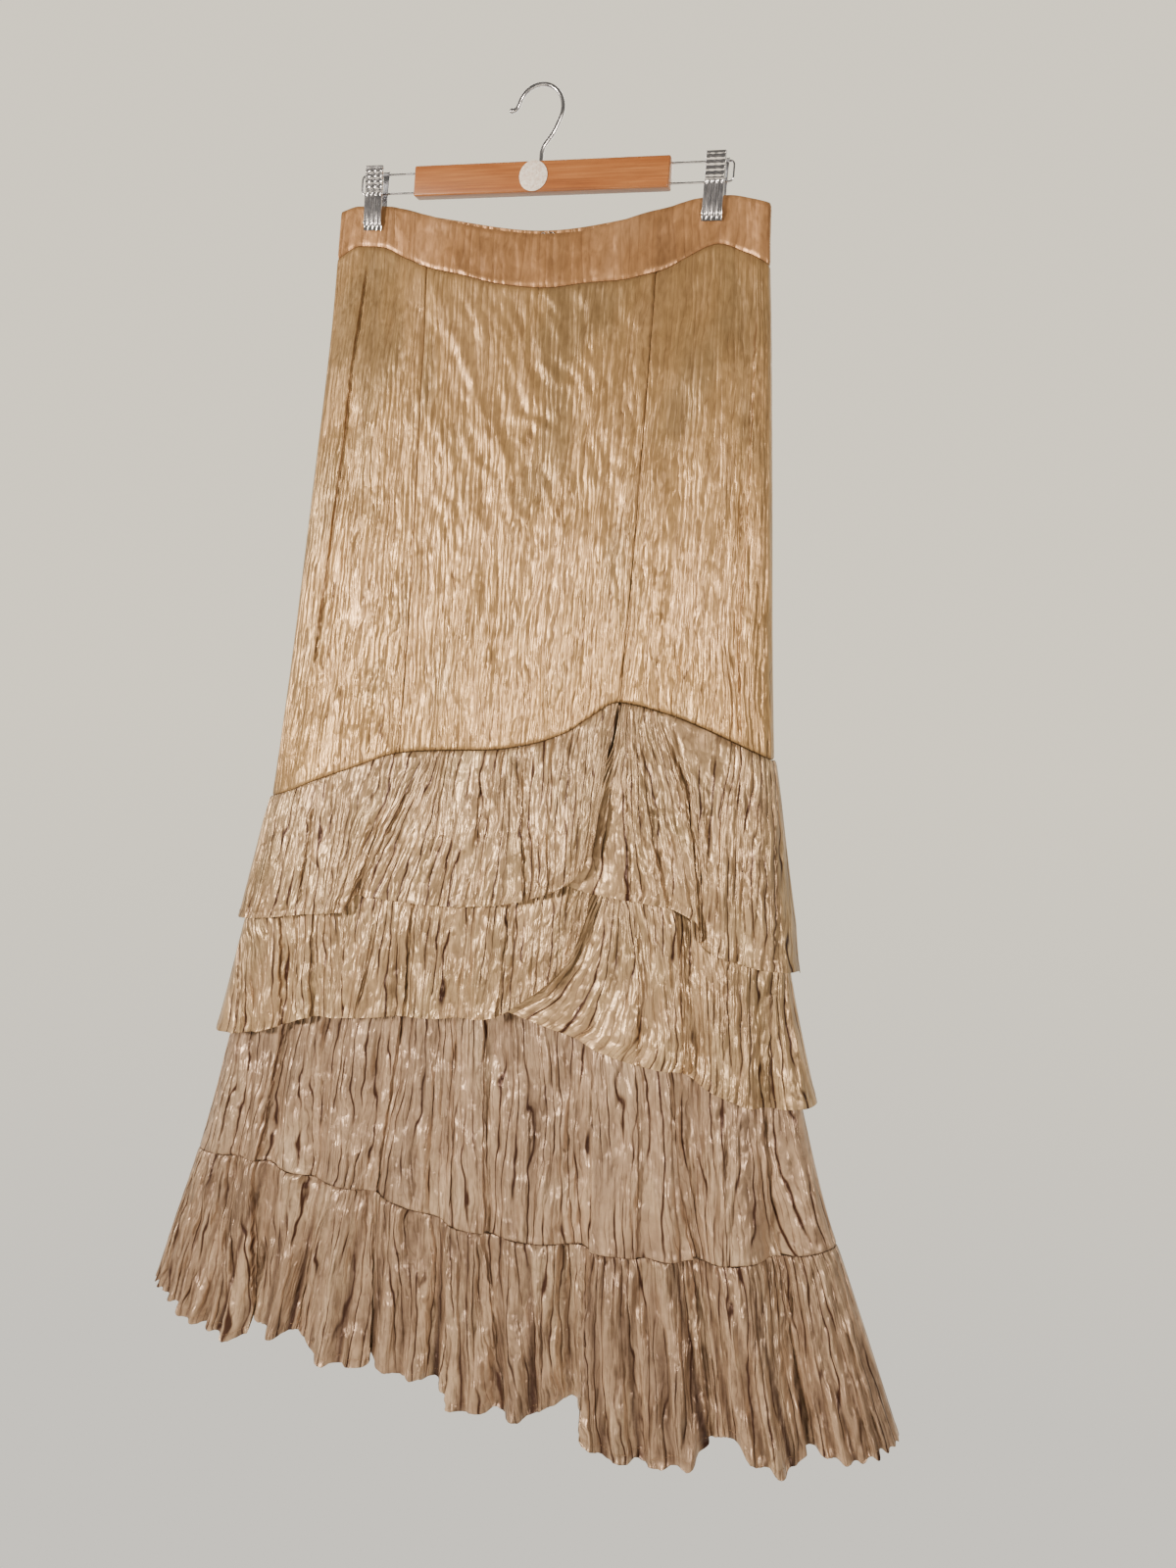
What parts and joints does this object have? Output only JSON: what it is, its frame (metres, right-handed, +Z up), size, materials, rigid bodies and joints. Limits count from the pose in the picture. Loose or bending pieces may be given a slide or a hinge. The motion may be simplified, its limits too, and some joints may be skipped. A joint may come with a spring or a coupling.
{
  "type": "ruffled maxi skirt on a clip hanger",
  "caption": "Full-length satin skirt with a shaped waistband, princess seams, crossed-over flounces and a gathered hem ruffle, held by the clips of a wooden skirt hanger.",
  "frame": {"origin": "where the inside of the hanger hook's loop top would hang, at the middle of the bar: the point that bears on a rail or wall hook, taken at the top of the wire's middle line", "axes": "+Z up, +X along the bar to the right as seen from the front, +Y towards the back of the skirt"},
  "size_m": [0.7712, 0.0967, 1.2101],
  "materials": {
    "band_satin": "satin",
    "skirt_satin": "crinkled satin",
    "flounce_satin": "crinkled satin",
    "lower_satin": "crinkled satin",
    "wood": "varnished",
    "chrome": "polished",
    "sticker": "pearly",
    "steel": "satin"
  },
  "bodies": {
    "root": {"hanger_bar": "wood", "hanger_hook": "chrome", "hanger_sticker": "sticker", "clip_rail_left": "chrome", "clip_rail_right": "chrome", "clip_jaw_front_left": "chrome", "clip_jaw_back_left": "chrome", "clip_spring_left": "chrome", "clip_jaw_front_right": "chrome", "clip_jaw_back_right": "chrome", "clip_spring_right": "chrome", "waistband_front": "band_satin", "waistband_back_left": "band_satin", "waistband_back_right": "band_satin", "hook_and_eye": "steel", "skirt_front_left": "skirt_satin", "skirt_front_centre": "skirt_satin", "skirt_front_right": "skirt_satin", "skirt_back_left": "skirt_satin", "skirt_back_right": "skirt_satin", "lower_skirt_front": "lower_satin", "lower_skirt_back": "lower_satin", "tier_1_front_left": "flounce_satin", "tier_1_front_right": "flounce_satin", "tier_1_back": "flounce_satin", "tier_2_front_left": "flounce_satin", "tier_2_front_right": "flounce_satin", "tier_2_back": "flounce_satin", "hem_ruffle_front": "lower_satin", "hem_ruffle_back": "lower_satin"}
  },
  "joints": []
}
